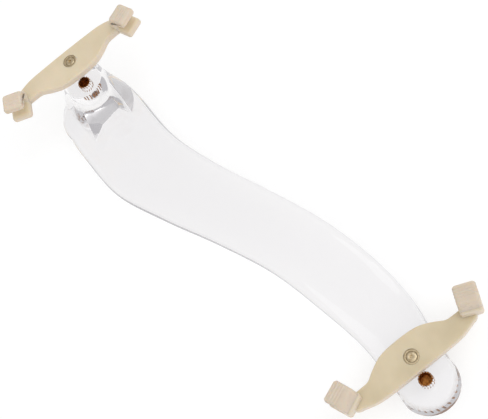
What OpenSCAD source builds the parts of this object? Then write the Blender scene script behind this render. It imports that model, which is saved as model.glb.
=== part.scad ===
// Violin shoulder rest: a clear S-shaped bar with a tall tower at one end and a low boss at the
// other. Each end holds two brass threaded inserts, and a two-clawed fork screws into one of them.
// Millimetres. X runs from the tower to the boss, Z points at the instrument, Z = 0 is the table.

/* [Bar] */
// Distance between the two fork studs
stud_span = 210; // [190:1:230]
// Thickness of the bar at mid length
bar_t = 5.5; // [4.5:0.5:8]
// Width of the bar at mid length
bar_w = 33; // [27:1:38]
// Width of the bar beside the tower
bar_w_tower = 40; // [36:1:46]
// How far the bar sways to the near side after the tower
sway_near = 11.8; // [4:0.2:15]
// How far the bar sways to the far side before the boss
sway_far = 7; // [2:1:12]
// Rise of the arch under the bar
arch_rise = 6; // [5:0.5:9]

/* [Tower and boss] */
// Height of the tower
tower_h = 28.5; // [22:0.5:34]
// Wall radius around each tower insert at the top
tower_r = 8.5; // [6.5:0.5:10]
// Height of the boss
boss_h = 10.5; // [10.5:0.5:13]
// Radius of the boss
boss_r = 13; // [11:0.5:15]
// Thickness of the bar under the tower
tower_base_t = 7; // [6:0.5:9]

/* [Inserts] */
// Distance between the two inserts of one end
insert_gap = 9.2; // [9.2:0.1:12]
// Angle of the line through the inserts
insert_turn = -17; // [-25:1:-5]
// Outer radius of an insert over its knurl
insert_r = 3.2; // [3:0.1:3.6]
// Length of an insert
insert_len = 7.5; // [6:0.5:8]
// Radius of the threaded bore
thread_r = 2.25; // [2:0.05:2.4]
// Radius of the run-out bore under an insert
bore_r = 2.6; // [2.45:0.05:2.9]
// Depth of the run-out bore below the top of its insert
bore_depth = 9.4; // [9:0.1:9.4]

/* [Forks] */
// Thickness of the fork plate
plate_t = 4; // [3.5:0.5:6]
// Half width of the plate on its straight side
plate_out = 6.8; // [6:0.1:6.8]
// Half width of the plate on its belly side
plate_in = 9.3; // [8:0.1:11]
// Distance from the stud to the middle of a claw along the plate
claw_reach = 31.5; // [29:0.5:35]
// Turn of each claw away from the plate
claw_splay = 23; // [10:1:30]
// Width of a claw over its grip
claw_w = 9.6; // [8:0.2:11]
// Depth of a claw over its grip, from lip to back
claw_d = 11.5; // [10.5:0.5:13]
// Distance of a claw's middle from the line through the stud, towards the bar
claw_shift = 2.8; // [2:0.1:4]
// Height of the mouth that takes the edge of the instrument
mouth_h = 4.8; // [4.4:0.1:6]
// Thickness of the rubber of a grip
grip_t = 1.1; // [0.9:0.1:1.4]
// Height above the plate where the grip begins on the claw
grip_from = 2.4; // [1:0.1:4]
// Thickness of the plastic inside a grip
core_t = 1.8; // [1.6:0.1:2.4]
// Turn of both forks from square to the bar
fork_turn = -10; // [-20:1:10]
// Gap between the tower and the plate of its fork
lift_tower = 3.2; // [1:0.1:4.5]
// Gap between the boss and the plate of its fork
lift_boss = 0.8; // [0.6:0.1:2.5]

/* [Studs] */
// Length of a stud below its plate
stud_len = 8.6; // [7.6:0.1:9]
// Clearance between a stud and its thread
stud_clear = 0.05; // [0.02:0.01:0.1]
// Outer radius of the knurled collar
collar_r = 3.3; // [3:0.1:3.8]

/* [Hidden] */
// Columns over the top and the underside of each section of the body, and stations at the tower's cap
top_n = 40;
under_n = 8;
cap_n = 14;
// Power of the rounded-square section of the bar
squareness = 4;
// Power of the tower's wall: 1 is straight, more is hollow
wall_power = 1.2;
stud_r = thread_r - stud_clear;
half_span = stud_span / 2;
insert_step = insert_gap * [cos(insert_turn), sin(insert_turn)];
stud_tower_at = [-half_span, 0];
spare_tower_at = stud_tower_at + insert_step;
stud_boss_at = [half_span, 0];
spare_boss_at = stud_boss_at + insert_step;
// Plan ellipse of the tower's foot: its centre and half axes
foot_at = (stud_tower_at + spare_tower_at) / 2 + [4.6, -5.6];
foot_len = insert_gap / 2 + tower_r + 6.6;
foot_w = bar_w_tower / 2 - 0.8;
// Plan outline of the tower's flare round the middle of its inserts: a corner on the near side, a flat
// front, and a long wing down the far edge of the bar; its back passes the end of the bar
tower_mid = (stud_tower_at + spare_tower_at) / 2;
front = insert_gap / 2 + tower_r;
flare = [for (p = [[front + 4.4, -18.2], [front + 0.4, -9.5], [front + 0.6, 2.5], [front + 20.4, 7],
    [front + 6.9, 11.8], [front - 6, 13.8], [-front + 4, 14], [-front - 6, 4], [-front - 6, -12],
    [-front + 4, -15.2]]) tower_mid + p];
// Last angle of the boss's round end, and where the ends of the body lie from the studs next to them
boss_last = 6;
tower_reach = foot_len * (1 - pow(1 / cap_n, 1.5)) - (foot_at.x - stud_tower_at.x);
boss_reach = insert_step.x + boss_r * cos(boss_last);
// The middle of the body's length is the origin of X
mid_x = (tower_reach - boss_reach) / 2;

// A point of the smooth curve through a row of points, from b to c
function bend(a, b, c, d, t) = (2 * b + (c - a) * t + (2 * a - 5 * b + 4 * c - d) * t * t
    + (3 * b - a - 3 * c + d) * t * t * t) / 2;
function knot(row, i) = row[max(0, min(len(row) - 1, i))];
// The smooth curve through a row of points, n[i] steps in gap i, without its last point
function curve(row, n) = [for (i = [0:len(row) - 2], k = [0:n[i] - 1])
    bend(knot(row, i - 1), knot(row, i), knot(row, i + 1), knot(row, i + 2), k / n[i])];

// Stations along the bar: x, y of the middle, half width, underside, thickness
bar_rows = [
    [foot_at.x, foot_at.y, foot_w, 0, tower_base_t],
    [-0.80 * half_span, -0.72 * sway_near, bar_w_tower / 2, 0, tower_base_t],
    [-0.52 * half_span, -sway_near, bar_w_tower / 2 - 0.6, 0.40 * arch_rise, bar_t],
    [-0.24 * half_span, -0.66 * sway_near, bar_w / 2 + 1.2, 0.88 * arch_rise, bar_t],
    [0.05 * half_span, -0.05 * sway_near, bar_w / 2, arch_rise, bar_t],
    [0.32 * half_span, 0.72 * sway_far, bar_w / 2 - 0.7, 0.88 * arch_rise, bar_t],
    [0.58 * half_span, 0.94 * sway_far, bar_w / 2 - 0.9, 0.5 * arch_rise, bar_t],
    [0.80 * half_span, 0.76 * sway_far, boss_r + 1.4, 0.1 * arch_rise, bar_t + 1],
    [0.97 * half_span, 0.1 * sway_far, boss_r + 0.6, 0, boss_h],
    [spare_boss_at.x, spare_boss_at.y, boss_r, 0, boss_h]];
tower_cap = [for (k = [1:cap_n - 1]) let(u = 1 - pow(k / cap_n, 1.5))
    [foot_at.x - foot_len * u, foot_at.y, foot_w * sqrt(1 - u * u), 0, tower_base_t]];
boss_cap = [for (a = [90:-12:boss_last])
    [spare_boss_at.x + boss_r * cos(a), spare_boss_at.y, boss_r * sin(a), 0, boss_h]];
bar_stations = concat(tower_cap, curve(bar_rows, [16, 16, 4, 4, 4, 4, 3, 3, 2]), boss_cap);

// Distance of a plan point from the slot shape round the two inserts of the tower, negative inside
function slot_distance(p) = let(
    along = max(0, min(1, (p - stud_tower_at) * insert_step / (insert_gap * insert_gap))))
    norm(p - stud_tower_at - along * insert_step) - tower_r;
// Distance of a plan point from the line a to b, and whether a ray from it along X crosses that line
function edge_distance(p, a, b) = let(t = max(0, min(1, (p - a) * (b - a) / ((b - a) * (b - a)))))
    norm(p - a - t * (b - a));
function edge_crossed(p, a, b) = (a.y > p.y) != (b.y > p.y)
    && p.x < a.x + (b.x - a.x) * (p.y - a.y) / (b.y - a.y);
// Distance of a plan point inside the flare, 0 outside it
function flare_distance(p) = let(
    n = len(flare),
    crossed = [for (i = [0:n - 1]) if (edge_crossed(p, flare[i], flare[(i + 1) % n])) 1])
    len(crossed) % 2 == 0 ? 0 : min([for (i = [0:n - 1]) edge_distance(p, flare[i], flare[(i + 1) % n])]);
// Share of the tower's height at a plan point: 1 on its top, 0 beyond its flare and its end of the bar
function tower_share(p) = let(
    outside = slot_distance(p),
    cap = (1 - norm([(p.x - foot_at.x) / foot_len, (p.y - foot_at.y) / foot_w])) * foot_w,
    foot = min(flare_distance(p), max(0, cap)),
    q = outside <= 0 ? 0 : foot <= 0 ? 1 : outside / (outside + foot))
    pow(1 - q, wall_power);
// Height of a rounded-square half section at v from -1 to 1, as a share of its half thickness
function crown(v) = pow(1 - pow(abs(v), squareness), 1 / squareness);
function body_top(s, v) = let(
    y = s[1] + s[2] * v,
    z = max(0, s[3]) + s[4] / 2 * (1 + crown(v)))
    [s[0], y, z + (tower_h - z) * tower_share([s[0], y])];
function body_under(s, v) = [s[0], s[1] + s[2] * v, max(0, s[3]) + s[4] / 2 * (1 - crown(v))];
function body_ring(s) = concat(
    [for (j = [0:top_n]) body_top(s, sin(90 - 180 * j / top_n))],
    [for (j = [1:under_n - 1]) body_under(s, -sin(90 - 180 * j / under_n))]);

// A closed skin over rings of n points each
module skin(rings, n) {
    last = len(rings) - 1;
    sides = [for (i = [0:last - 1], k = [0:n - 1]) [
        i * n + k, i * n + (k + 1) % n, (i + 1) * n + (k + 1) % n, (i + 1) * n + k]];
    triangles = [for (q = sides, half = [0:1]) half == 0 ? [q[0], q[1], q[2]] : [q[0], q[2], q[3]]];
    start = [[for (k = [n - 1:-1:0]) k]];
    end = [[for (k = [0:n - 1]) last * n + k]];
    polyhedron(points = [for (r = rings, p = r) p], faces = concat(start, triangles, end));
}

// Moves what is drawn from the middle of the studs to the origin
module centred() {
    translate([mid_x, 0, 0]) children();
}

// Seat of an insert and the run-out bore below it
module insert_hole(at, top) {
    translate([at.x, at.y, top - insert_len]) cylinder(r = insert_r, h = insert_len + 2, $fn = 64);
    translate([at.x, at.y, top - bore_depth]) cylinder(r = bore_r, h = bore_depth, $fn = 64);
}

module body() {
    color([0.93, 0.95, 0.96, 0.35]) centred() difference() {
        skin([for (s = bar_stations) body_ring(s)], top_n + under_n);
        insert_hole(stud_tower_at, tower_h);
        insert_hole(spare_tower_at, tower_h);
        insert_hole(stud_boss_at, boss_h);
        insert_hole(spare_boss_at, boss_h);
    }
}

// Brass sleeve with two knurled bands and a groove between them
module insert(at, top) {
    groove = 0.4;
    band = insert_len * 0.38;
    color("peru") centred() translate([at.x, at.y, top - insert_len]) rotate_extrude($fn = 64) polygon([
        [thread_r, 0], [insert_r, 0], [insert_r, band], [insert_r - groove, band + groove],
        [insert_r - groove, insert_len - band - groove], [insert_r, insert_len - band],
        [insert_r, insert_len], [thread_r, insert_len]]);
}

// Plan outline of a plate: x points away from the bar and y along the plate, the stud is at the origin
arm_in = 3;
arm_out = plate_out - 2.4;
plate_out_side = curve([[plate_out, 0], [plate_out - 0.15, 12], [plate_out - 0.6, 21],
    [arm_out, claw_reach - 3.6], [arm_out - 0.6, claw_reach]], [3, 3, 2, 1]);
plate_in_side = curve([[-arm_in, claw_reach], [-arm_in, 22.6], [-arm_in - 0.4, 19.6], [-plate_in + 3.6, 15.8],
    [-plate_in + 1.2, 10.8], [-plate_in + 0.2, 5.6], [-plate_in, 0]], [1, 2, 2, 2, 2, 3]);
plate_side = concat(plate_out_side, [[arm_out - 0.6, claw_reach]], plate_in_side, [[-plate_in, 0]]);
plate_points = concat(plate_side, [for (i = [len(plate_side) - 2:-1:1]) [plate_side[i].x, -plate_side[i].y]]);

// Side view of a claw less a wall of rubber: the mouth faces -x and z = 0 is the top of the plate
function claw_profile(wall) = let(
    front = wall - claw_d / 2,
    back = claw_d / 2 - wall,
    shell = core_t + 2 * (grip_t - wall),
    high = mouth_h + wall + shell)
    [[front, -shell - wall], [back, -shell - wall], [back, high], [front, high],
    [front, mouth_h + wall], [back - shell, mouth_h + wall], [back - shell, -wall], [front, -wall]];

// Puts what is drawn round a claw's middle at the end of the arm on side 1 or side -1
module at_claw(side) {
    mirror([0, side > 0 ? 0 : 1, 0]) translate([-claw_shift, claw_reach, 0]) rotate([0, 0, -claw_splay])
        children();
}
module claw(wall) {
    wide = claw_w - 2 * wall;
    translate([0, wide / 2, 0]) rotate([90, 0, 0]) linear_extrude(wide) polygon(claw_profile(wall));
}
// Whole outer block of a claw, mouth and all
module claw_block() {
    translate([-claw_d / 2, -claw_w / 2, -core_t - 2 * grip_t])
        cube([claw_d, claw_w, mouth_h + 2 * core_t + 4 * grip_t]);
}
// Bare plastic of a claw up to the grip, and the plastic inside the grip above
module claw_core() {
    claw(grip_t);
    intersection() {
        claw(0);
        translate([-claw_d, -claw_w, -claw_d]) cube([2 * claw_d, 2 * claw_w, claw_d + grip_from]);
    }
}

module fork_plate() {
    difference() {
        union() {
            difference() {
                translate([0, 0, -plate_t]) linear_extrude(plate_t) polygon(plate_points);
                at_claw(1) claw_block();
                at_claw(-1) claw_block();
            }
            at_claw(1) claw_core();
            at_claw(-1) claw_core();
        }
        translate([0, 0, -plate_t - 1]) cylinder(r = collar_r, h = plate_t + 2, $fn = 64);
    }
}

// Puts what is drawn round a plate's stud in the place of the tower's fork or of the boss's
module at_tower() {
    centred() translate([stud_tower_at.x, stud_tower_at.y, tower_h + lift_tower + plate_t])
        rotate([0, 0, 180 + fork_turn]) children();
}
module at_boss() {
    centred() translate([stud_boss_at.x, stud_boss_at.y, boss_h + lift_boss + plate_t])
        rotate([0, 0, fork_turn]) children();
}

module fork() { color("wheat") fork_plate(); }
module grip(side) {
    color("antiquewhite") difference() {
        at_claw(side) claw(0);
        at_claw(side) claw_core();
    }
}
// Knurled ring moulded into the plate, with the stud's shank through it
module collar() {
    color("tan") translate([0, 0, -plate_t]) rotate_extrude($fn = 64)
        polygon([[thread_r, 0], [collar_r, 0], [collar_r, plate_t], [thread_r, plate_t]]);
}
module stud() {
    chamfer = 0.5;
    color("silver") translate([0, 0, -plate_t - stud_len]) rotate_extrude($fn = 64)
        polygon([[0, 0], [stud_r - chamfer, 0], [stud_r, chamfer], [stud_r, stud_len + plate_t],
            [0, stud_len + plate_t]]);
}

body();
insert(stud_tower_at, tower_h);  // insert_tower_outer
insert(spare_tower_at, tower_h);  // insert_tower_inner
insert(stud_boss_at, boss_h);  // insert_boss_inner
insert(spare_boss_at, boss_h);  // insert_boss_outer
at_tower() fork();  // fork_tower
at_boss() fork();  // fork_boss
at_tower() collar();  // collar_tower
at_boss() collar();  // collar_boss
at_tower() stud();  // stud_tower
at_boss() stud();  // stud_boss
at_tower() grip(1);  // grip_tower_near
at_tower() grip(-1);  // grip_tower_far
at_boss() grip(-1);  // grip_boss_near
at_boss() grip(1);  // grip_boss_far
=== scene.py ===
"""A violin shoulder rest: a clear arched bar with a tower and a boss, two turning forks and their soft claws.

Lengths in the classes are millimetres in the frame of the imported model. METRE scales them when a mesh is
made, and materials and the studio are in metres.
"""
import logging
import math
from dataclasses import dataclass
from enum import Enum

import bmesh
import bpy
import numpy as np
from mathutils import Matrix, Vector


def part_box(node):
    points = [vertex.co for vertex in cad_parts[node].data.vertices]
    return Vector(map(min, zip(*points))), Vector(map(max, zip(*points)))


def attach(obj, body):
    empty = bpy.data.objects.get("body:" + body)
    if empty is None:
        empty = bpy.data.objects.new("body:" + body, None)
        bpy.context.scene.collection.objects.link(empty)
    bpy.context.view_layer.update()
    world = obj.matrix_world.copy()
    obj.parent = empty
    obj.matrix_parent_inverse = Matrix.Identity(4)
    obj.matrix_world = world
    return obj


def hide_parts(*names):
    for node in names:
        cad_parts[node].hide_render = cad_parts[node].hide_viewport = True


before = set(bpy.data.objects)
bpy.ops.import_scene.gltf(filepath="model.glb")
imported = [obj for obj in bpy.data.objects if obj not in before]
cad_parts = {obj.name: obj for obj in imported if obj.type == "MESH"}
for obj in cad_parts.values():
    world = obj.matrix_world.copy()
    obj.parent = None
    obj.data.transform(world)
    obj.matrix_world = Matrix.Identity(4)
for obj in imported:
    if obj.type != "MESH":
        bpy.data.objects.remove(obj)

LOG = logging.getLogger("shoulder_rest")
METRE = 1000.0
Array = np.ndarray
Socket = bpy.types.NodeSocket
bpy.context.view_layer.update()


class End(Enum):
    """The two ends of the bar that carry a fork."""

    TOWER = "tower"
    BOSS = "boss"

    @property
    def taken(self) -> str:
        """Node of the insert that holds this end's stud."""
        return f"insert_{self.value}_{'outer' if self is End.TOWER else 'inner'}"

    @property
    def spare(self) -> str:
        """Node of the insert that is left free."""
        return f"insert_{self.value}_{'inner' if self is End.TOWER else 'outer'}"


class Side(Enum):
    """The two claws of a fork."""

    NEAR = "near"
    FAR = "far"


def box_mm(node: str) -> tuple[Array, Array]:
    """The lowest and highest corner of a frame node, in millimetres.

    Args:
        node: Name of the node.

    Returns:
        Two arrays of three numbers.
    """
    low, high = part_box(node)
    return np.array(low) * METRE, np.array(high) * METRE


def plan_centre(node: str) -> Array:
    """The middle of a frame node seen from above, in millimetres."""
    low, high = box_mm(node)
    return ((low + high) / 2)[:2]


# ---- meshes


@dataclass
class Shell:
    """Points of a surface and its faces, before it becomes a piece.

    Attributes:
        points: Array of shape (n, 3), in millimetres.
        faces: Arrays of vertex numbers, one array of shape (m, k) for each face size k.
    """

    points: Array
    faces: list[Array]

    def moved(self, turn: Array, shift: Array) -> "Shell":
        """The shell turned by a 3x3 matrix, then shifted."""
        return Shell(self.points @ turn.T + shift, self.faces)


def joined(shells: list[Shell]) -> Shell:
    """Several shells as one, with the vertex numbers of each moved past those before it."""
    starts = np.cumsum([0] + [len(s.points) for s in shells[:-1]])
    faces = [f + start for s, start in zip(shells, starts) for f in s.faces]
    return Shell(np.concatenate([s.points for s in shells]), faces)


def grid_faces(rows: int, columns: int, closed: bool) -> Array:
    """Quads between the neighbours of a grid of points stored row by row.

    Args:
        rows: Number of rows.
        columns: Number of points in a row.
        closed: Whether the last point of a row joins its first.

    Returns:
        Array of shape (quads, 4).
    """
    across = np.arange(columns if closed else columns - 1)
    first, column = np.meshgrid(np.arange(rows - 1) * columns, across, indexing="ij")
    after, above = (column + 1) % columns, first + columns
    return np.stack([first + column, first + after, above + after, above + column], axis=-1).reshape(-1, 4)


def tube(rings: Array) -> Shell:
    """A skin over rings of points, each joined to the next, with the first and the last filled flat.

    Args:
        rings: Array of shape (rings, points, 3).

    Returns:
        The skin.
    """
    count, around = rings.shape[:2]
    ring = np.arange(around)[None, :]
    faces = [grid_faces(count, around, closed=True), ring[:, ::-1], ring + (count - 1) * around]
    return Shell(rings.reshape(-1, 3), faces)


def looped(rings: Array) -> Shell:
    """A skin over rings of points whose last ring is joined to its first, such as a sleeve."""
    count, around = rings.shape[:2]
    quads = grid_faces(count + 1, around, closed=True) % (count * around)
    return Shell(rings.reshape(-1, 3), [quads])


def ring_angles(around: int) -> Array:
    """Evenly spaced angles round a circle, as one row."""
    return np.linspace(0, 2 * math.pi, around, endpoint=False)[None, :]


def polar_rings(radius: Array, height: Array, angle: Array) -> Array:
    """Rings about Z: the point at angle a on ring k is (r cos a, r sin a, height[k]).

    Args:
        radius: Array of shape (rings, 1) or (rings, angles).
        height: Height of each ring.
        angle: One row of angles.

    Returns:
        Array of shape (rings, angles, 3).
    """
    r, z = radius + 0 * angle, height[:, None] + 0 * angle
    return np.stack([r * np.cos(angle), r * np.sin(angle), z], axis=-1)


def thread_form(height: Array, angle: Array, pitch: float) -> Array:
    """A V thread from 0 to 1: 1 - |2 p - 1|, where the phase p turns once in each pitch."""
    phase = (height[:, None] / pitch - angle / (2 * math.pi)) % 1
    return 1 - np.abs(2 * phase - 1)


def added(name: str, data: bpy.types.ID) -> bpy.types.Object:
    """A new object of some data, linked to the scene."""
    made = bpy.data.objects.new(name, data)
    bpy.context.scene.collection.objects.link(made)
    return made


def piece(name: str, shell: Shell, sharp: float = 35.0, merge: float = 2e-4) -> bpy.types.Object:
    """Makes an object of a shell, in metres, with its doubles merged and its faces pointing outwards.

    Args:
        name: Name of the object.
        shell: The surface.
        sharp: Angle in degrees past which an edge stays sharp in the shading.
        merge: Distance in millimetres under which points become one.

    Returns:
        The new object, linked to the scene, at the origin.
    """
    mesh = bpy.data.meshes.new(name)
    faces = [face for group in shell.faces for face in group.tolist()]
    mesh.from_pydata((shell.points / METRE).tolist(), [], faces)
    work = bmesh.new()
    work.from_mesh(mesh)
    bmesh.ops.remove_doubles(work, verts=work.verts, dist=merge / METRE)
    bmesh.ops.dissolve_degenerate(work, edges=work.edges, dist=merge / METRE / 10)
    bmesh.ops.recalc_face_normals(work, faces=work.faces)
    if work.calc_volume(signed=True) < 0:
        bmesh.ops.reverse_faces(work, faces=work.faces)
    work.to_mesh(mesh)
    work.free()
    smooth(mesh, sharp)
    return added(name, mesh)


def smooth(mesh: bpy.types.Mesh, sharp: float) -> None:
    """Shades a mesh smooth, apart from edges sharper than an angle in degrees."""
    mesh.polygons.foreach_set("use_smooth", np.ones(len(mesh.polygons), bool))
    mesh.set_sharp_from_angle(angle=math.radians(sharp))


def carve(target: bpy.types.Object, cutter: Shell, sharp: float = 35.0) -> None:
    """Takes a shell out of an object.

    Args:
        target: The object that is cut.
        cutter: What is taken away.
        sharp: Angle in degrees past which an edge stays sharp in the shading.
    """
    tool = piece("cutter", cutter)
    cut = target.modifiers.new("cut", "BOOLEAN")
    cut.object, cut.operation, cut.solver = tool, "DIFFERENCE", "EXACT"
    graph = bpy.context.evaluated_depsgraph_get()
    result = bpy.data.meshes.new_from_object(target.evaluated_get(graph))
    target.modifiers.clear()
    target.data = result
    bpy.data.objects.remove(tool)
    smooth(result, sharp)


def smooth_curve(knots: Array, steps: int) -> Array:
    """The Catmull-Rom curve through rows of numbers, with the end rows repeated.

    Args:
        knots: Array of shape (rows, numbers).
        steps: Samples in each gap between two rows.

    Returns:
        Array of shape (steps * (rows - 1) + 1, numbers).
    """
    padded = np.concatenate([knots[:1], knots, knots[-1:]])
    a, b, c, d = (padded[i : len(knots) - 1 + i, None, :] for i in range(4))
    t = np.linspace(0, 1, steps, endpoint=False)[None, :, None]
    curve = (
        2 * b + (c - a) * t + (2 * a - 5 * b + 4 * c - d) * t**2 + (3 * b - a - 3 * c + d) * t**3
    ) / 2
    return np.concatenate([curve.reshape(-1, knots.shape[1]), knots[-1:]])


def unit(vectors: Array) -> Array:
    """Rows of numbers scaled to length 1."""
    return vectors / np.maximum(np.linalg.norm(vectors, axis=1, keepdims=True), 1e-9)


def rounded_outline(corners: Array, radii: Array, steps: int) -> Array:
    """A polygon whose corners are arcs: each arc is centred on the bisector, at radius / sin(half angle).

    Args:
        corners: Array of shape (n, 2), anticlockwise.
        radii: Radius of each corner.
        steps: Points on each arc, less one.

    Returns:
        Array of shape (n * (steps + 1), 2).
    """
    back = unit(np.roll(corners, 1, axis=0) - corners)
    ahead = unit(np.roll(corners, -1, axis=0) - corners)
    half = np.arccos(np.clip((back * ahead).sum(1), -1, 1)) / 2
    centre = corners + unit(back + ahead) * (radii / np.sin(half))[:, None]
    start = corners + back * (radii / np.tan(half))[:, None] - centre
    end = corners + ahead * (radii / np.tan(half))[:, None] - centre
    share = np.linspace(0, 1, steps + 1)[None, :, None]
    spread = (math.pi - 2 * half)[:, None, None]
    arc = start[:, None] * np.sin((1 - share) * spread) + end[:, None] * np.sin(share * spread)
    return (centre[:, None] + arc / np.sin(spread)).reshape(-1, 2)


def outline_normals(outline: Array) -> Array:
    """Outward unit normals of an anticlockwise outline: the mean direction of two edges, turned by 90 deg."""
    edge = unit(np.roll(outline, -1, axis=0) - outline)
    along = unit(edge + np.roll(edge, 1, axis=0))
    return np.stack([along[:, 1], -along[:, 0]], axis=1)


def edge_rings(outline: Array, low: float, high: float, radius: float, steps: int = 8) -> Array:
    """The rings of an outline drawn up into a slab with rounded edges, from the lower face to the upper.

    At angle a from 0 to a right angle the outline is moved inwards by radius (1 - sin a), and lies at low +
    radius (1 - cos a); the upper edge mirrors the lower one.

    Args:
        outline: Anticlockwise outline, shape (n, 2).
        low: Height of the lower face.
        high: Height of the upper face.
        radius: Radius of both edges.
        steps: Rings over each edge.

    Returns:
        Array of shape (2 * steps + 2, n, 3).
    """
    turn = np.linspace(0, math.pi / 2, steps + 1)
    inset = radius * (1 - np.sin(turn))
    rise = radius * (1 - np.cos(turn))
    inset = np.concatenate([inset, inset[::-1]])
    height = np.concatenate([low + rise, high - rise[::-1]])
    plan = outline[None] - inset[:, None, None] * outline_normals(outline)[None]
    level = height[:, None, None] + 0 * plan[..., :1]
    return np.concatenate([plan, level], axis=-1)


def holed_slab(rings: Array, hole: float, steps: int = 6) -> Shell:
    """A slab with a round hole through the origin: its faces run straight from the edge's rings to the hole.

    Args:
        rings: Rings of the slab's edge, from the lower face to the upper, each seen whole from the origin.
        hole: Radius of the hole.
        steps: Rings over each face, beside a first one close to the outline that keeps the edge's shading.

    Returns:
        The slab, as a skin closed both ways.
    """
    close = 0.03
    share = np.concatenate([[close], np.linspace(0, 1, steps + 1)[1:]])[:, None, None]
    faces = []
    for ring in (rings[-1], rings[0]):
        rim = ring.copy()
        rim[:, :2] *= hole / np.linalg.norm(ring[:, :2], axis=1, keepdims=True)
        faces.append(ring[None] * (1 - share) + rim[None] * share)
    around = np.concatenate([rings, faces[0], faces[1][::-1]])
    return looped(around)


def turn_z(degrees: float) -> Array:
    """The matrix of a turn about Z."""
    c, s = math.cos(math.radians(degrees)), math.sin(math.radians(degrees))
    return np.array([[c, -s, 0], [s, c, 0], [0, 0, 1.0]])


# ---- finishes


class Nodes:
    """The node tree of a material or a world, with short calls that add a node and join it."""

    def __init__(self, owner: bpy.types.Material | bpy.types.World) -> None:
        """Empties the owner's tree and adds its output."""
        owner.use_nodes = True
        self.owner, self.tree = owner, owner.node_tree
        self.tree.nodes.clear()
        self.output = self.add(f"Output{type(owner).__name__}")

    def add(self, kind: str, inputs: dict | None = None, **settings: object) -> bpy.types.Node:
        """Adds a node.

        Args:
            kind: Blender's name of the node type, without its prefix.
            inputs: What goes into each input: a value, a socket, or a node's first output.
            settings: Properties of the node.

        Returns:
            The node.
        """
        node = self.tree.nodes.new(f"ShaderNode{kind}")
        for key, value in settings.items():
            setattr(node, key, value)
        for key, value in (inputs or {}).items():
            source = value.outputs[0] if isinstance(value, bpy.types.Node) else value
            if isinstance(source, Socket):
                self.tree.links.new(source, node.inputs[key])
            else:
                node.inputs[key].default_value = source
        return node

    def ended(self, shader: bpy.types.Node) -> bpy.types.Material | bpy.types.World:
        """Joins a shader to the output and gives the owner."""
        self.tree.links.new(shader.outputs[0], self.output.inputs["Surface"])
        return self.owner


class Paint(Nodes):
    """A material whose patterns lie on the piece's own coordinates."""

    def __init__(self, name: str) -> None:
        """Starts an empty material of this name."""
        super().__init__(bpy.data.materials.new(name))
        self.place = self.add("TexCoord").outputs["Object"]

    def noise(self, scale: float, detail: float, rough: float = 0.55, stretch: tuple = (1, 1, 1)) -> Socket:
        """Noise on the piece's own coordinates.

        Args:
            scale: Cells in a metre.
            detail: Octaves.
            rough: Strength of the finer octaves.
            stretch: Factors on the three axes, for a grain.

        Returns:
            The noise, from 0 to 1.
        """
        mapping = self.add("Mapping", {"Vector": self.place, "Scale": stretch})
        cells = {"Vector": mapping, "Scale": scale, "Detail": detail, "Roughness": rough}
        return self.add("TexNoise", cells).outputs["Fac"]

    def ranged(self, source: Socket, start: tuple, end: tuple) -> Socket:
        """Maps a value from one range to another, kept inside the second."""
        limits = {"From Min": start[0], "From Max": start[1], "To Min": end[0], "To Max": end[1]}
        return self.add("MapRange", {"Value": source, **limits}, clamp=True).outputs["Result"]

    def mixed(self, share: Socket, *colours: tuple | Socket) -> Socket:
        """Two colours, each plain or from a socket, mixed by a share."""
        first, second = ((*c, 1) if isinstance(c, tuple) else c for c in colours)
        return self.add("Mix", {0: share, 6: first, 7: second}, data_type="RGBA").outputs[2]

    def sided(self, face: Socket, side: tuple) -> Socket:
        """A colour that turns to another on upright sides, by the height of the surface's normal: painted
        light on the sides.
        """
        axes = self.add("SeparateXYZ", {0: self.add("TexCoord").outputs["Normal"]})
        return self.mixed(self.ranged(axes.outputs["Z"], (0.5, 0.95), (1, 0)), face, side)

    def along(self, boss: Socket, tower: Socket, span: tuple) -> Socket:
        """A colour that turns to another between two places along the bar, in metres: painted shade at the
        boss end, painted light at the tower end.
        """
        axes = self.add("SeparateXYZ", {0: self.place})
        return self.mixed(self.ranged(axes.outputs["X"], span, (0, 1)), boss, tower)

    def bump(self, height: Socket, strength: float, deep: float, **under: object) -> Socket:
        """A bump of a height in metres, over another one if that is given as Normal."""
        inputs = {"Strength": strength, "Distance": deep, "Height": height, **under}
        return self.add("Bump", inputs).outputs["Normal"]


def linear(red: int, green: int, blue: int) -> tuple[float, float, float]:
    """An sRGB colour of 0 to 255 as linear light."""
    share = np.array([red, green, blue]) / 255
    return tuple(np.where(share <= 0.04045, share / 12.92, ((share + 0.055) / 1.055) ** 2.4).tolist())


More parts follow.
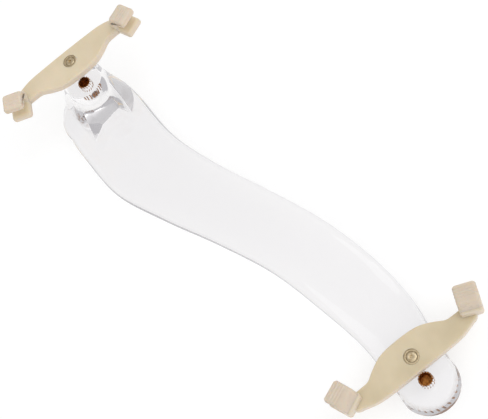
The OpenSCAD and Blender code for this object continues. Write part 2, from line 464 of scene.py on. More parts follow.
@dataclass(frozen=True)
class ClearAcrylic:
    """Polished clear acrylic with faint flow waves and hairline scratches.

    Attributes:
        name: Name of the finish.
        index: Refractive index.
        tint: Colour of the plastic.
        dull: Lowest and highest roughness.
        waves: Cells in a metre, strength and depth of the flow waves.
        scratches: The same of the scratches.
        last_bounce: How many turns inside it light is followed for.
        inner_light: Colour of a painted glow that rays meet after them, in place of the light they would
            still find.
    """

    name: str = "clear_acrylic"
    index: float = 1.49
    tint: tuple = (0.966, 0.962, 0.96)
    dull: tuple = (0.0, 0.035)
    waves: tuple = (28, 0.10, 0.0006)
    scratches: tuple = (900, 0.03, 0.00005)
    last_bounce: float = 3.5
    inner_light: tuple = (0.5, 0.49, 0.51)

    def material(self) -> bpy.types.Material:
        """The material: clear plastic that lets the lamps through, and deep inside meets a painted grey glow
        so that it is never black there.
        """
        p = Paint(self.name)
        waves = p.bump(p.noise(self.waves[0], 1), *self.waves[1:])
        lines = p.noise(self.scratches[0], 2, 0.5, (0.15, 1, 1))
        glass = p.add(
            "BsdfPrincipled",
            {
                "Base Color": (*self.tint, 1),
                "Transmission Weight": 1,
                "IOR": self.index,
                "Roughness": p.ranged(p.noise(90, 4), (0.45, 0.75), self.dull),
                "Normal": p.bump(lines, *self.scratches[1:], Normal=waves),
            },
        )
        light = p.add("LightPath").outputs
        # Painted light: after last_bounce turns inside, a ray meets a grey glow instead of the light it would
        # still find.
        spent = p.add("Math", {0: light["Ray Depth"], 1: self.last_bounce}, operation="GREATER_THAN")
        glow = p.add("Emission", {"Color": (*self.inner_light, 1)})
        inside = p.add("MixShader", {0: spent, 1: glass, 2: glow})
        clear = p.add("BsdfTransparent")
        return p.ended(p.add("MixShader", {0: light["Is Shadow Ray"], 1: inside, 2: clear}))


@dataclass(frozen=True)
class Metal:
    """Turned metal with tarnish and fine tool marks.

    Attributes:
        name: Name of the finish.
        bright: Colour where it is clean.
        dark: Colour where it is tarnished.
        dull: Lowest and highest roughness.
        tarnish: Cells in a metre of the tarnish.
        marks: Cells in a metre, strength and depth of the tool marks.
    """

    name: str
    bright: tuple
    dark: tuple
    dull: tuple
    tarnish: float = 900
    marks: tuple = (2500, 0.25, 0.00004)

    def material(self) -> bpy.types.Material:
        """The material."""
        p = Paint(self.name)
        tarnish = p.ranged(p.noise(self.tarnish, 4), (0.38, 0.66), (0, 1))
        inputs = {
            "Metallic": 1,
            "Base Color": p.mixed(tarnish, self.bright, self.dark),
            "Roughness": p.ranged(p.noise(1500, 3), (0.3, 0.7), self.dull),
            "Normal": p.bump(p.noise(self.marks[0], 2, 0.6, (1, 1, 6)), *self.marks[1:]),
        }
        return p.ended(p.add("BsdfPrincipled", inputs))


@dataclass(frozen=True)
class SoftPlastic:
    """Moulded plastic or rubber that light enters a little, with flow marks, a fine grain, dust specks, and
    painted light on its sides and towards the tower end.

    Attributes:
        name: Name of the finish.
        light: Lighter tone.
        deep: Deeper tone, which only the boss end takes, as painted shade there; the specks take a share of
            it.
        inside: Share of light that travels below the surface.
        reach: How far it travels, in metres.
        side: Painted light: the tone painted on the upright sides for the light that comes through them from
            the faces.
        pale: Painted light: the paler tone of the pieces at the tower end, where more light falls on them
            than at the boss end.
        dull: Lowest and highest roughness.
        grain: Strength of the grain's bump.
        span: Where along the bar the painted tone changes from the boss end's shade to the tower end's light,
            in metres.
        flow: Cells in a metre, strength and depth of the flow marks.
        speck_tone: Tone of the specks, as a share of the deeper tone.
    """

    name: str
    light: tuple
    deep: tuple
    inside: float
    reach: float
    side: tuple
    pale: tuple
    dull: tuple = (0.3, 0.42)
    grain: float = 0.12
    span: tuple = (0.05, -0.05)
    flow: tuple = (110, 0.10, 0.0004)
    speck_tone: float = 0.8

    def material(self) -> bpy.types.Material:
        """The material."""
        p = Paint(self.name)
        cloud = p.ranged(p.noise(60, 3), (0.35, 0.65), (0, 1))
        # Painted light and shade: the boss end is painted deeper and the tower end paler, for the light that
        # falls less on the boss end; the cloud is a random tone.
        near, far = p.mixed(cloud, self.light, self.deep), p.mixed(cloud, self.pale, self.light)
        # Painted light: the upright sides take their own tone, for the light that comes through them from the
        # faces.
        tone = p.sided(p.along(near, far, self.span), self.side)
        specks = p.ranged(p.noise(700, 2), (0.70, 0.78), (0, 0.25))
        flow = p.bump(p.noise(self.flow[0], 2), *self.flow[1:])
        inputs = {
            "Base Color": p.mixed(specks, tone, tuple(self.speck_tone * v for v in self.deep)),
            "Subsurface Weight": self.inside,
            "Subsurface Radius": (1.0, 0.75, 0.45),
            "Subsurface Scale": self.reach,
            "IOR": 1.5,
            "Roughness": p.ranged(p.noise(240, 3), (0.35, 0.7), self.dull),
            "Normal": p.bump(p.noise(2600, 2), self.grain, 0.00003, Normal=flow),
        }
        return p.ended(p.add("BsdfPrincipled", inputs))


class Finishes:
    """The finishes of the part, one for each material slot of the record."""

    def __init__(self) -> None:
        """Makes every material once."""
        brass = Metal("brass", linear(186, 124, 62), linear(108, 62, 26), (0.25, 0.5))
        collar = Metal("collar_metal", linear(214, 198, 164), linear(190, 172, 138), (0.45, 0.6))
        stud = Metal("stud_metal", linear(224, 208, 174), linear(186, 166, 130), (0.36, 0.5))
        ivory = SoftPlastic(
            name="ivory_plastic",
            light=linear(223, 208, 177),
            deep=linear(211, 196, 164),
            inside=0.3,
            reach=0.0025,
            # Painted light: a paler tone on the upright sides and at the tower end.
            side=linear(226, 211, 190),
            pale=linear(232, 217, 188),
        )
        rubber = SoftPlastic(
            name="grip_rubber",
            light=linear(220, 207, 188),
            deep=linear(208, 194, 174),
            inside=0.5,
            reach=0.004,
            # Painted light: the tone of the upright sides, and a paler tone at the tower end.
            side=linear(218, 203, 184),
            pale=linear(230, 215, 196),
            dull=(0.26, 0.38),
            grain=0.1,
        )
        finishes = (ClearAcrylic(), brass, ivory, collar, stud, rubber)
        self.by_slot = {finish.name: finish.material() for finish in finishes}

    def dress(self, made: bpy.types.Object, body: str, slot: str, *nodes: str) -> None:
        """Gives a piece the finish of its slot and its body, and hides the nodes that it stands for.

        Args:
            made: The piece.
            body: Body that it rides on.
            slot: Material slot of the record.
            nodes: Nodes that it replaces.
        """
        made.data.materials.clear()
        made.data.materials.append(self.by_slot[slot])
        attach(made, body)
        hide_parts(*nodes)
        LOG.info("%s rides on %s with %d faces", made.name, body, len(made.data.polygons))


# ---- sub-assemblies


@dataclass
class ClearBar:
    """The clear body: an S-shaped arched bar, a flared tower at one end and a round boss at the other.

    Its top and underside are heights over the plan. A row gives x, the middle, the half width, the
    underside and the thickness; the smooth curve through the rows gives them everywhere.
    """

    bar_thick: float = 5.5
    bar_width: float = 33.0
    tower_width: float = 40.0
    sway_near: float = 11.8
    sway_far: float = 7.0
    arch: float = 6.0
    tower_radius: float = 8.5
    base_thick: float = 7.0
    boss_radius: float = 13.0
    square: float = 4.0
    boss_rim: float = 1.2
    boss_flat: float = 0.84
    boss_from: float = 24.0
    boss_blend: float = 18.0
    wall_power: float = 1.2
    rim: float = 0.6
    rim_gap: float = 0.25
    insert_bite: float = 3.0
    insert_deep: float = 7.5
    bore_radius: float = 2.6
    bore_deep: float = 9.4
    foot_shift: tuple = (4.6, -5.6)
    foot_in: float = 0.8
    past_flare: float = 1.5
    table_steps: int = 400
    cap_rows: int = 70
    foot_rows: int = 60
    bar_rows: int = 176
    boss_rows: int = 44
    over_columns: int = 121
    under_columns: int = 57
    top_rings: int = 10
    wall_rings: int = 44
    tries: int = 500

    def __post_init__(self) -> None:
        """Takes the places of the inserts and the ends of the bar from the frame, and works out the rows.

        The flare is the outline of the tower's foot: a polygon whose corners are given from the two ends of
        the slot shape round the tower's inserts.
        """
        self.stud = {end: plan_centre(end.taken) for end in End}
        self.spare = {end: plan_centre(end.spare) for end in End}
        self.top = {end: box_mm(end.taken)[1][2] for end in End}
        self.left, right = box_mm("body")[0][0], box_mm("body")[1][0]
        self.boss_reach = right - self.spare[End.BOSS][0]
        self.middle = (self.stud[End.TOWER][0] + self.stud[End.BOSS][0]) / 2
        self.half_span = (self.stud[End.BOSS][0] - self.stud[End.TOWER][0]) / 2
        self.step = self.spare[End.TOWER] - self.stud[End.TOWER]
        tower = (self.stud[End.TOWER] + self.spare[End.TOWER]) / 2
        self.foot_at = tower + np.array(self.foot_shift)
        self.foot_long = self.foot_at[0] - self.left
        self.foot_wide = self.tower_width / 2 - self.foot_in
        self.table = smooth_curve(self.rows(), self.table_steps)
        front = float(np.linalg.norm(self.step)) / 2 + self.tower_radius
        ahead = [[4.4, -18.2], [0.4, -9.5], [0.6, 2.5], [20.4, 7.0], [6.9, 11.8], [-6.0, 13.8]]
        behind = [[4.0, 14.0], [-6.0, 4.0], [-6.0, -12.0], [4.0, -15.2]]
        corners = [[front + x, y] for x, y in ahead] + [[x - front, y] for x, y in behind]
        self.flare = tower + np.array(corners)

    def rows(self) -> Array:
        """The rows from the tower's foot to the boss: x, middle, half width, underside and thickness."""
        half, wide = self.bar_width / 2, self.tower_width / 2
        near, far, boss = self.sway_near, self.sway_far, self.boss_radius
        along = np.array([-0.80, -0.52, -0.24, 0.05, 0.32, 0.58, 0.80, 0.97]) * self.half_span + self.middle
        mid = np.array([-0.72, -1, -0.66, -0.05, 0.72, 0.94, 0.76, 0.1]) * ([near] * 4 + [far] * 4)
        width = [wide, wide - 0.6, half + 1.2, half, half - 0.7, half - 0.9, boss + 1.4, boss + 0.6]
        under = [0, 0.4, 0.88, 1, 0.88, 0.5, 0.1, 0]
        thick = [self.base_thick] + [self.bar_thick] * 5 + [self.bar_thick + 1, self.top[End.BOSS]]
        first = [*self.foot_at, self.foot_wide, 0, self.base_thick]
        last = [*self.spare[End.BOSS], boss, 0, self.top[End.BOSS]]
        between = np.column_stack([along, mid, width, np.array(under) * self.arch, thick])
        return np.vstack([first, between, last])

    def at(self, x: Array) -> tuple[Array, ...]:
        """The middle, half width, underside and thickness of the bar at each x, from the smooth rows."""
        xs = self.table[:, 0]
        mid, half, under, thick = (np.interp(x, xs, self.table[:, i]) for i in range(1, 5))
        return mid, half, np.maximum(under, 0), thick

    def share_out(self, x: Array, y: Array) -> Array:
        """How far a plan point lies towards the outline: 0 in the middle, 1 on it.

        Along the bar it is the distance from the middle over the half width; round the two ends it is the
        radius in the end's ellipse over the ellipse's own.
        """
        mid, half, _, _ = self.at(x)
        end = self.spare[End.BOSS]
        boss = np.hypot((x - end[0]) / self.boss_reach, (y - end[1]) / self.boss_radius)
        out = np.where(x > end[0], boss, np.abs(y - mid) / half)
        return np.clip(np.where(x < self.foot_at[0], self.foot_out(x, y), out), 0, 1)

    def foot_out(self, x: Array, y: Array) -> Array:
        """The radius of a plan point in the ellipse of the bar's end at the tower, over the ellipse's own."""
        return np.hypot((x - self.foot_at[0]) / self.foot_long, (y - self.foot_at[1]) / self.foot_wide)

    def crown(self, out: Array) -> Array:
        """The height of a rounded-square section as a share of its half thickness: (1 - out^n)^(1/n)."""
        return (1 - out**self.square) ** (1 / self.square)

    def boss_share(self, x: Array) -> Array:
        """How much of the section at x is the boss's: 0 on the bar, 1 on the boss, t^2 (3 - 2 t) between."""
        t = np.clip((x - self.stud[End.BOSS][0] + self.boss_from) / self.boss_blend, 0, 1)
        return t * t * (3 - 2 * t)

    def foot_away(self, x: Array, y: Array) -> Array:
        """How far inside the tower's foot a plan point lies, 0 outside it.

        The foot is the part of the flare inside the round end of the bar. The distance to the flare is the
        least of those to its edges, and a point is inside where a line along x crosses its edges an odd
        number of times.
        """
        after = np.roll(self.flare, -1, axis=0)
        edge = after - self.flare
        off = np.stack([x, y], axis=-1)[..., None, :] - self.flare
        along = np.clip((off * edge).sum(-1) / (edge**2).sum(-1), 0, 1)
        away = np.linalg.norm(off - along[..., None] * edge, axis=-1).min(-1)
        straddled = (self.flare[:, 1] > y[..., None]) != (after[:, 1] > y[..., None])
        crossed = straddled & (off[..., 0] < edge[:, 0] / edge[:, 1] * off[..., 1])
        inside = crossed.sum(-1) % 2 == 1
        cap = 1 - self.foot_out(x, y)
        return np.minimum(np.where(inside, away, 0), np.maximum(cap * self.foot_wide, 0))

    def tower_share(self, x: Array, y: Array) -> Array:
        """The share of the tower's height at a plan point: 1 on its top, (1 - q)^power outside it.

        q is the distance outside the slot shape round the two inserts over that plus the distance inside
        the foot. The distance outside grows smoothly from zero over the rim.
        """
        at, step = self.stud[End.TOWER], self.step
        along = np.clip(((x - at[0]) * step[0] + (y - at[1]) * step[1]) / (step @ step), 0, 1)
        away = np.hypot(x - at[0] - along * step[0], y - at[1] - along * step[1]) - self.tower_radius
        away = np.where(np.abs(away) < self.rim, (away + self.rim) ** 2 / (4 * self.rim), np.maximum(away, 0))
        q = np.where(away <= 0, 0, away / np.maximum(away + self.foot_away(x, y), 1e-9))
        return (1 - q) ** self.wall_power

    def rim_height(self, x: Array, thick: Array) -> Array:
        """The height of a section's widest line over its underside: half the thickness, less on the boss."""
        share = self.boss_share(x)
        return (1 - share) * thick / 2 + share * self.boss_rim

    def upper(self, x: Array, y: Array) -> Array:
        """The height of the top over a plan point: the bar's crowned top, raised by the tower's share.

        The boss has a flat top and a sloping side: with t from 0 at the rim to 1 at the flat, its height is
        that of the rim plus the rest times 1 - (1 - t)^1.5.
        """
        _, _, under, thick = self.at(x)
        out, share = self.share_out(x, y), self.boss_share(x)
        slope = 1 - (1 - np.clip((1 - out) / (1 - self.boss_flat), 0, 1)) ** 1.5
        rim = self.rim_height(x, thick)
        z = under + rim + (thick - rim) * ((1 - share) * self.crown(out) + share * slope)
        return z + (self.top[End.TOWER] - z) * self.tower_share(x, y)

    def lower(self, x: Array, y: Array) -> Array:
        """The height of the underside over a plan point."""
        _, _, under, thick = self.at(x)
        return under + self.rim_height(x, thick) * (1 - self.crown(self.share_out(x, y)))

    def spread(self, count: int) -> Array:
        """Places across the bar from 1 to -1, evenly spaced in length and in turn of the section's curve."""
        v = np.sin(np.linspace(math.pi / 2, -math.pi / 2, 6001))
        fine = np.column_stack([v * self.bar_width / 2, self.crown(np.abs(v)) * self.bar_thick / 2])
        step = np.diff(fine, axis=0)
        length = np.linalg.norm(step, axis=1)
        heading = np.unwrap(np.arctan2(step[:, 1], step[:, 0]))
        turned = np.abs(np.diff(heading, prepend=heading[0]))
        gauge = np.concatenate([[0], np.cumsum(length / length.sum() + turned / turned.sum())])
        return np.interp(np.linspace(0, gauge[-1], count), gauge, v)

    def section_points(self, x: Array, v: Array, upper: bool) -> Array:
        """Points of the top or underside on stations x at places v across, shape (stations, places, 3)."""
        mid, half = self.outline_at(x)
        xs = x[:, None] + 0 * v[None]
        ys = mid[:, None] + half[:, None] * v[None]
        height = self.upper if upper else self.lower
        return np.stack([xs, ys, height(xs, ys)], axis=-1)

    def outline_at(self, x: Array) -> tuple[Array, ...]:
        """The bar's middle and half width at each x, with an ellipse at both ends."""
        mid, half, _, _ = self.at(x)
        end = self.spare[End.BOSS][0]
        left = self.foot_wide * np.sqrt(np.clip(1 - ((x - self.foot_at[0]) / self.foot_long) ** 2, 0, 1))
        right = self.boss_radius * np.sqrt(np.clip(1 - ((x - end) / self.boss_reach) ** 2, 0, 1))
        return mid, np.where(x < self.foot_at[0], left, np.where(x > end, right, half))

    def shell(self) -> Shell:
        """The whole skin, in three parts that share their edge points.

        Over the tower the top is drawn on straight lines that start inside the slot shape, cross its rim
        square and end on the outline or on the cut across the bar. The rest is drawn on sections across the
        bar.
        """
        cut = self.flare[:, 0].max() + self.past_flare
        cap = self.foot_at[0] - self.foot_long * np.cos(np.linspace(0, math.pi / 2, self.cap_rows))
        tower_x = np.concatenate([cap, np.linspace(self.foot_at[0], cut, self.foot_rows)[1:]])
        end = self.spare[End.BOSS][0]
        boss = end + self.boss_reach * np.sin(np.linspace(0, math.pi / 2, self.boss_rows))
        bar_x = np.concatenate([np.linspace(cut, end, self.bar_rows)[:-1], boss])
        over, below = self.spread(self.over_columns), self.spread(self.under_columns)
        lower = self.section_points(bar_x, below[::-1], False)[:, 1:-1]
        bar = np.concatenate([self.section_points(bar_x, over, True), lower], axis=1)
        bar_shell = Shell(bar.reshape(-1, 3), [grid_faces(*bar.shape[:2], closed=True)])
        under = self.section_points(tower_x, below, False)
        under_shell = Shell(under.reshape(-1, 3), [grid_faces(*under.shape[:2], closed=False)])
        across = self.section_points(tower_x[-1:], over, True)[0, ::-1]
        loop = np.concatenate([under[::-1, 0], under[1:, -1], across[1:-1]])
        return joined([bar_shell, under_shell, self.tower_top(loop)])

    def tower_top(self, loop: Array) -> Shell:
        """The top inside a closed loop of edge points.

        Each line runs from the nearest point of the slot shape's spine to its edge point, and one of its
        points lies on the rim and one on the edge of the foot. Between those two the share t^2 (3 - 2 t)
        draws the points closer to both, and beyond the foot 1 - (1 - t)^2 draws them closer to the bar's
        edge.

        Args:
            loop: Points of the edge, in order, shape (n, 3).

        Returns:
            The top.
        """
        at, step = self.stud[End.TOWER], self.step
        along = np.clip((loop[:, :2] - at) @ step / (step @ step), 0, 1)
        spine = at + along[:, None] * step
        ray = loop[:, :2] - spine
        length = np.linalg.norm(ray, axis=1)
        ray /= length[:, None]
        rim = np.minimum(self.tower_radius, length - self.rim_gap)
        tried = rim + (length - rim) * np.linspace(0, 1, self.tries)[:, None]
        tries = spine[None] + tried[..., None] * ray[None]
        reached = np.where(self.foot_away(tries[..., 0], tries[..., 1]) > 0, tried, 0).max(0)
        foot = np.clip(reached, rim + self.rim_gap / 3, length - self.rim_gap / 3)
        inner = rim + np.linspace(-2.2 * self.rim, 0, self.top_rings, endpoint=False)[:, None]
        t = np.linspace(0, 1, self.wall_rings)[:, None]
        wall = rim + (foot - rim) * t[:-1] ** 2 * (3 - 2 * t[:-1])
        bar = foot + (length - foot) * (1 - (1 - t[::2]) ** 2)
        bar[-1] = length
        far = np.concatenate([inner, wall, bar])
        plan = spine[None] + far[..., None] * ray[None]
        height = self.upper(plan[..., 0], plan[..., 1])
        height[-1] = loop[:, 2]
        rings = np.concatenate([plan, height[..., None]], axis=-1)
        faces = [grid_faces(*rings.shape[:2], closed=True), np.arange(rings.shape[1])[None, ::-1]]
        return Shell(rings.reshape(-1, 3), faces)

    def bores(self) -> Shell:
        """The seats of the four inserts and the narrower bores below them, with a cone at the bottom."""
        tip, cone, over = 0.4, 0.8, 2.0
        low, seat = -self.bore_deep, -self.insert_deep
        height = np.array([low, low + cone, seat, seat, over])
        radius = np.array([tip, self.bore_radius, self.bore_radius, self.insert_bite, self.insert_bite])
        plug = tube(polar_rings(radius[:, None], height, ring_angles(48)))
        places = [[*at[end], self.top[end]] for end in End for at in (self.stud, self.spare)]
        return joined([plug.moved(np.eye(3), np.array(place)) for place in places])

    def build(self, finishes: Finishes) -> None:
        """Makes and dresses the body."""
        made = piece("clear_bar", self.shell())
        carve(made, self.bores())
        finishes.dress(made, "rest_body", "clear_acrylic", "body")


@dataclass
class BrassInsert:
    """A brass sleeve with two knurled bands, a groove between them and a thread inside.

    One that takes no stud is shown with the dark floor that closes its lower end.
    """

    node: str
    closed: bool
    teeth: int = 16
    tooth_deep: float = 0.5
    tooth_slant: float = 0.9
    groove_deep: float = 0.4
    groove_share: float = 0.12
    chamfer_high: float = 0.35
    chamfer_deep: float = 0.12
    bore: float = 2.25
    mouth_high: float = 0.5
    mouth_deep: float = 0.2
    thread_deep: float = 0.18
    pitch: float = 0.8
    floor_deep: float = 3.4

    def shell(self) -> Shell:
        """The sleeve about Z from 0 up: an outer skin whose radius ripples round it, and a threaded bore."""
        low, high = box_mm(self.node)
        radius, long = (high - low)[0] / 2, (high - low)[2]
        angle = ring_angles(144)
        z = np.linspace(0, long, 61)
        end_near = np.minimum(z, long - z)
        band = np.clip(np.abs(z - long / 2) / (long * self.groove_share) - 0.4, 0, 1)
        chamfer = np.clip(end_near / self.chamfer_high, 0, 1)
        slant = angle * self.teeth + np.sign(z - long / 2)[:, None] * z[:, None] * self.tooth_slant
        tooth = (0.5 - 0.5 * np.cos(slant)) ** 0.7
        outer = radius - self.groove_deep * (1 - band)[:, None] - self.tooth_deep * tooth * band[:, None]
        outer = outer - self.chamfer_deep * (1 - chamfer)[:, None]
        inner = self.bore + self.thread_deep * thread_form(z, angle, self.pitch)
        mouth = np.clip(1 - end_near / self.mouth_high, 0, 1)[:, None]
        inner = np.maximum(inner, self.bore + self.mouth_deep * mouth)
        inside = z[::-1] >= (long - self.floor_deep if self.closed else 0)
        radii = np.concatenate([outer, inner[::-1][inside]])
        rings = polar_rings(radii, np.concatenate([z, z[::-1][inside]]), angle)
        return tube(rings) if self.closed else looped(rings)

    def build(self, finishes: Finishes) -> None:
        """Makes and dresses the sleeve."""
        low, _ = box_mm(self.node)
        shell = self.shell().moved(np.eye(3), np.array([*plan_centre(self.node), low[2]]))
        finishes.dress(piece(f"brass_{self.node}", shell), "rest_body", "brass", self.node)


@dataclass
class Fork:
    """A turning fork: an ivory plate on a threaded stud, with a knurled collar and a soft claw on each arm.

    In its own frame x points away from the bar, y along the plate, and the origin is on the stud's axis at
    the plate's top.
    """

    end: End
    plate_thick: float = 4.0
    plate_out: float = 6.8
    plate_in: float = 9.3
    claw_reach: float = 31.5
    claw_splay: float = 23.0
    claw_wide: float = 9.6
    claw_deep: float = 11.5
    claw_shift: float = 2.8
    mouth: float = 4.8
    shell_thick: float = 4.0
    grip_from: float = 2.4
    ridges: int = 4
    ridge_deep: float = 0.16
    lean_in: float = 2.9
    step_in: float = 0.03
    claw_edge: float = 1.4
    arm_in: float = 3.0
    turn: float = -10.0
    edge: float = 0.9
    collar_radius: float = 3.3
    knurl_deep: float = 0.06
    stud_radius: float = 2.2
    thread_deep: float = 0.28
    pitch: float = 0.8
    lip: float = 1.9
    heel: float = 2.6
    brow: float = 2.2
    hem: float = 1.45
    soft_throat: float = 0.8
    bare_throat: float = 1.1
    bare_over: float = 2.2
    bare_top: float = 0.05
    arc_steps: int = 10
    claw_points: int = 260
    ridge_from: float = 1.2
    ridge_ends: float = 3.6

    def __post_init__(self) -> None:
        """Takes the stud's place and the plate's height from the frame."""
        low, high = box_mm(f"stud_{self.end.value}")
        self.stud_low = low[2] - high[2]
        self.place = np.array([*plan_centre(f"stud_{self.end.value}"), high[2]])
        self.heading = turn_z(self.turn + (180 if self.end is End.TOWER else 0))
        self.body = f"{self.end.value}_fork"

    def outline(self) -> Array:
        """The plate's plan outline, anticlockwise: a smooth curve down each side, mirrored about the stud."""
        out, arm, end = self.plate_out, self.plate_out - 2.4, self.claw_reach - 3.6
        belly, slim = self.plate_in, self.arm_in
        outer = smooth_curve(np.array([[out, 0], [out - 0.15, 12], [out - 0.6, 21], [arm, end]]), 14)
        waist = [[-slim, end], [-slim, 22.6], [-slim - 0.4, 19.6]]
        swell = [[3.6 - belly, 15.8], [1.2 - belly, 10.8], [0.2 - belly, 5.6], [-belly, 0]]
        inner = smooth_curve(np.array(waist + swell), 12)
        angle = np.linspace(0, math.pi, 15)[1:-1]
        wide = (arm + slim) / 2
        tip = np.column_stack([(arm - slim) / 2 + wide * np.cos(angle), end + wide * np.sin(angle)])
        half = np.concatenate([outer, tip, inner])
        mirrored = half[-2:0:-1] * np.array([1, -1])
        return np.concatenate([half, mirrored])

    def claw_side(self, soft: bool) -> Array:
        """One of the two L shapes of a claw in side view: x towards the back, z up, the mouth towards -x.

        The corners are arcs, and those that stand out are wider than the rounding of the claw's two faces.
        The top leg of the soft one has ridges across it.

        Args:
            soft: Whether it is the soft grip, from its lower end up, or the bare plastic below it.

        Returns:
            The outline, shape (n, 2).
        """
        front, back, wall = -self.claw_deep / 2, self.claw_deep / 2, self.shell_thick
        high, deep, start = self.mouth + wall, back - wall, self.grip_from
        if not soft:
            stub, low, top = start + self.bare_over, -wall, self.bare_top
            back, deep = back - self.step_in, deep + self.step_in
            corners = [[front, low], [back, low], [back, stub], [deep, stub], [deep, top], [front, top]]
            radii = [self.lip, self.heel, self.hem, self.hem, self.bare_throat, self.lip]
            return rounded_outline(np.array(corners), np.array(radii), self.arc_steps)
        slim = back - self.lean_in
        corners = [[front, high], [front, self.mouth], [deep, self.mouth], [deep, start], [back, start]]
        radii = [self.lip, self.lip, self.soft_throat, self.hem, self.hem, self.brow]
        outline = rounded_outline(np.array([*corners, [slim, high]]), np.array(radii), self.arc_steps)
        ring = np.vstack([outline, outline[:1]])
        gauge = np.concatenate([[0], np.cumsum(np.linalg.norm(np.diff(ring, axis=0), axis=1))])
        around = np.linspace(0, gauge[-1], self.claw_points, endpoint=False)
        dense = np.column_stack([np.interp(around, gauge, ring[:, axis]) for axis in (0, 1)])
        across = np.clip((dense[:, 0] - front - self.ridge_from) / (slim - front - self.ridge_ends), 0, 1)
        groove = 0.5 - 0.5 * np.cos(across * 2 * math.pi * self.ridges)
        dense[:, 1] -= np.where(dense[:, 1] > high - 0.02, self.ridge_deep * groove, 0)
        return dense

    def claw(self, side: int, soft: bool) -> Shell:
        """One part of a claw as an L-shaped slab across the arm's end, rounded at its two faces."""
        wide = self.claw_wide / 2 - (0 if soft else self.step_in)
        slab = tube(edge_rings(self.claw_side(soft), -wide, wide, self.claw_edge))
        upright = Shell(slab.points[:, [0, 2, 1]], slab.faces)
        splayed = upright.moved(turn_z(-self.claw_splay), np.array([-self.claw_shift, self.claw_reach, 0]))
        mirror = np.diag([1.0, side, 1.0])
        return splayed.moved(mirror, np.zeros(3))

    def thread(self) -> Shell:
        """The stud: rings up Z with a V thread that fades in from the lower end, and a dimple on top."""
        z = np.arange(self.stud_low, -self.plate_thick + 0.05, self.pitch / 10)
        angle = ring_angles(48)
        lead = np.clip((z - z[0]) / 0.6, 0, 1)[:, None]
        wave = -self.thread_deep * thread_form(z, angle, self.pitch) * lead - 0.5 * (1 - lead)
        neck = [self.stud_radius - 0.05, self.stud_radius - 0.05, self.stud_radius - 0.3]
        end = np.array([*neck, 1.5, 1.25, 0.75, 0.7])[:, None] + 0 * angle
        height = np.concatenate([z, [-self.plate_thick + 0.3, -0.2, -0.05, -0.03, 0.0, -0.1, -0.7]])
        return tube(polar_rings(np.concatenate([self.stud_radius + wave, end]), height, angle))

    def collar(self) -> Shell:
        """The ring round the stud: its outer radius ripples with the angle, its top edge is bevelled."""
        angle, teeth = ring_angles(180), 30
        tooth = self.knurl_deep * (0.5 - 0.5 * np.cos(angle * teeth))
        out, hole, low = self.collar_radius, self.stud_radius + 0.05, -self.plate_thick
        radius = np.array([out - 0.3, out, out, out - 0.15, hole + 0.1, hole, hole])
        height = np.array([low, low + 0.3, -0.2, -0.04, -0.04, -0.15, low])
        knurled = np.array([1, 1, 1, 1, 0, 0, 0])[:, None] * -tooth
        return looped(polar_rings(radius[:, None] + knurled, height, angle))

    def placed(self, shell: Shell) -> Shell:
        """A shell of the fork's own frame in its place on the bar."""
        return shell.moved(self.heading, self.place)

    def build(self, finishes: Finishes) -> None:
        """Makes and dresses the plate, the collar, the stud and the two claws."""
        name = self.end.value
        rings = edge_rings(self.outline(), -self.plate_thick, 0, self.edge)
        slab, bare = holed_slab(rings, self.collar_radius), [self.claw(sign, soft=False) for sign in (1, -1)]
        plate = piece(f"ivory_plate_{name}", self.placed(joined([slab, *bare])))
        finishes.dress(plate, self.body, "ivory_plastic", f"fork_{name}")
        collar = piece(f"knurled_collar_{name}", self.placed(self.collar()), 50)
        finishes.dress(collar, self.body, "collar_metal", f"collar_{name}")
        stud = piece(f"threaded_stud_{name}", self.placed(self.thread()), 50)
        finishes.dress(stud, f"{name}_screw", "stud_metal", f"stud_{name}")
        nearest = 1 if self.end is End.TOWER else -1
        for side, sign in ((Side.NEAR, nearest), (Side.FAR, -nearest)):
            claw = piece(f"soft_claw_{name}_{side.value}", self.placed(self.claw(sign, soft=True)), 40)
            finishes.dress(claw, self.body, "grip_rubber", f"grip_{name}_{side.value}")


# ---- studio


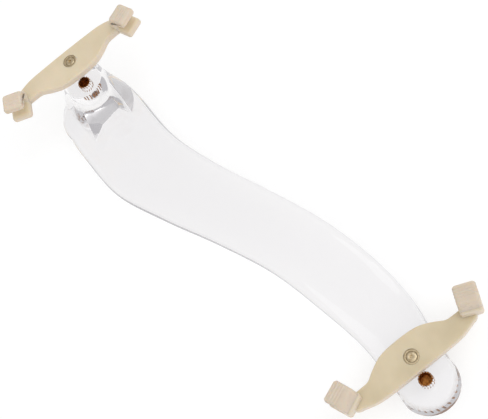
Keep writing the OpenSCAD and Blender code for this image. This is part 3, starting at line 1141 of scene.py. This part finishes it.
@dataclass
class Studio:
    """A pale floor, a soft lamp above, an even surround and the camera.

    The camera looks along its azimuth and elevation at a point off the middle of the two studs, and leans
    about its own axis.
    """

    azimuth: float = 81.0
    elevation: float = 62.0
    lean: float = 39.5
    lens: float = 81.15
    distance: float = 0.486
    aim: tuple = (3.55, 1.8, 12.0)
    floor_tone: float = 0.5
    floor_glow: float = 0.56
    table_at: tuple = (0.0, 0.14, 0.0)
    table_fade: tuple = (0.24, 0.5)
    floor_reach: float = 6.0
    room_tone: float = 0.5
    sky_slope: tuple = (0.35, 0.3, 1.0)
    sky: tuple = ((0.0, 0.3), (0.25, 0.55), (0.75, 0.6), (1.0, 0.92))
    sky_light: float = 0.78
    lamp_power: float = 3.0
    key: tuple = ((0.3, 0.6, 1.0), 1.0, 1.0)
    fill: tuple = ((0.5, -0.7, 0.9), 0.9, 0.35)

    def camera(self) -> None:
        """Places the camera: back from the target along the line of sight, leaning by the lean angle."""
        az, el, lean = (math.radians(v) for v in (self.azimuth, self.elevation, self.lean))
        look = Vector((-math.sin(az) * math.cos(el), math.cos(az) * math.cos(el), -math.sin(el)))
        level_up = (Vector((0, 0, 1)) - look * look.z).normalized()
        level_right = look.cross(level_up)
        up = math.cos(lean) * level_up + math.sin(lean) * level_right
        right = math.cos(lean) * level_right - math.sin(lean) * level_up
        middle = (plan_centre("stud_tower") + plan_centre("stud_boss")) / 2
        target = Vector((*middle, 0)) / METRE + Vector(self.aim) / METRE
        place = target - look * self.distance
        data = bpy.data.cameras.new("camera")
        data.lens = self.lens
        data.sensor_width = 36.0
        data.clip_start, data.clip_end = 0.01, 20.0
        made = added("camera", data)
        turned = Matrix((right, up, -look)).transposed().to_4x4()
        made.matrix_world = Matrix.Translation(place) @ turned
        bpy.context.scene.camera = made

    def floor(self) -> None:
        """A wide pale floor: half of its white is its colour under the light, half a glow.

        What glass and mirrors see of it fades to a grey away from the object, as a table does in a studio.
        """
        mesh = bpy.data.meshes.new("floor")
        r = self.floor_reach
        mesh.from_pydata([(-r, -r, 0), (r, -r, 0), (r, r, 0), (-r, r, 0)], [], [(0, 1, 2, 3)])
        made = added("floor", mesh)
        p = Paint("pale_floor")
        shifted = p.add("VectorMath", {0: p.place, 1: self.table_at}, operation="SUBTRACT")
        away = p.add("VectorMath", {0: shifted}, operation="LENGTH").outputs["Value"]
        near = p.ranged(away, self.table_fade, (1, self.room_tone))
        camera = p.add("LightPath").outputs["Is Camera Ray"]
        share = p.add("Math", {0: near, 1: camera}, operation="MAXIMUM")
        strength = p.add("Math", {0: share, 1: self.floor_glow}, operation="MULTIPLY")
        tone = p.mixed(share.outputs[0], (0, 0, 0), (self.floor_tone,) * 3)
        diffuse, glow = p.add("BsdfDiffuse", {"Color": tone}), p.add("Emission", {"Strength": strength})
        mesh.materials.append(p.ended(p.add("AddShader", {0: diffuse, 1: glow})))

    def surround(self) -> None:
        """The world: white behind the object, an even tone for its light, and greys for mirrors and glass.

        The greys brighten with the height of the ray and away from the back of the tower.
        """
        world = bpy.data.worlds.new("surround")
        bpy.context.scene.world = world
        sky = Nodes(world)
        ray = sky.add("TexCoord").outputs["Generated"]
        slope = sky.add("VectorMath", {0: ray, 1: self.sky_slope}, operation="DOT_PRODUCT")
        ramp = sky.add("ValToRGB", {"Fac": slope.outputs["Value"]})
        steps = ramp.color_ramp.elements
        steps[0].position, steps[1].position = self.sky[0][0], self.sky[-1][0]
        for at, _ in self.sky[1:-1]:
            steps.new(at)
        for step, (_, tone) in zip(steps, self.sky):
            step.color = (tone, 0.985 * tone, 1.01 * tone, 1)
        grey = sky.add("Background", {"Color": ramp})
        even = sky.add("Background", {"Color": (self.sky_light,) * 3 + (1,)})
        white = sky.add("Background", {"Color": (1, 1, 1, 1)})
        light = sky.add("LightPath").outputs
        lit = sky.add("MixShader", {0: light["Is Diffuse Ray"], 1: grey, 2: even})
        sky.ended(sky.add("MixShader", {0: light["Is Camera Ray"], 1: lit, 2: white}))

    def lamps(self) -> None:
        """One wide soft lamp above the far side of the bar, and a weak one above its near side."""
        for name, (place, size, share) in (("key_lamp", self.key), ("fill_lamp", self.fill)):
            data = bpy.data.lights.new(name, "AREA")
            data.energy = self.lamp_power * share
            data.shape = "SQUARE"
            data.size = size
            at = Vector(place)
            turned = at.to_track_quat("Z", "Y").to_matrix().to_4x4()
            added(name, data).matrix_world = Matrix.Translation(at) @ turned

    def build(self) -> None:
        """Makes the camera, floor, surround and lamps."""
        self.camera()
        self.floor()
        self.surround()
        self.lamps()
        bpy.context.scene.view_settings.view_transform = "Standard"


def main() -> None:
    """Builds the studio and the part."""
    logging.basicConfig(level=logging.INFO, format="%(message)s")
    Studio().build()
    finishes = Finishes()
    ClearBar().build(finishes)
    for end in End:
        BrassInsert(end.taken, closed=False).build(finishes)
        BrassInsert(end.spare, closed=True).build(finishes)
    for end in End:
        Fork(end).build(finishes)


if __name__ == "__main__":
    main()
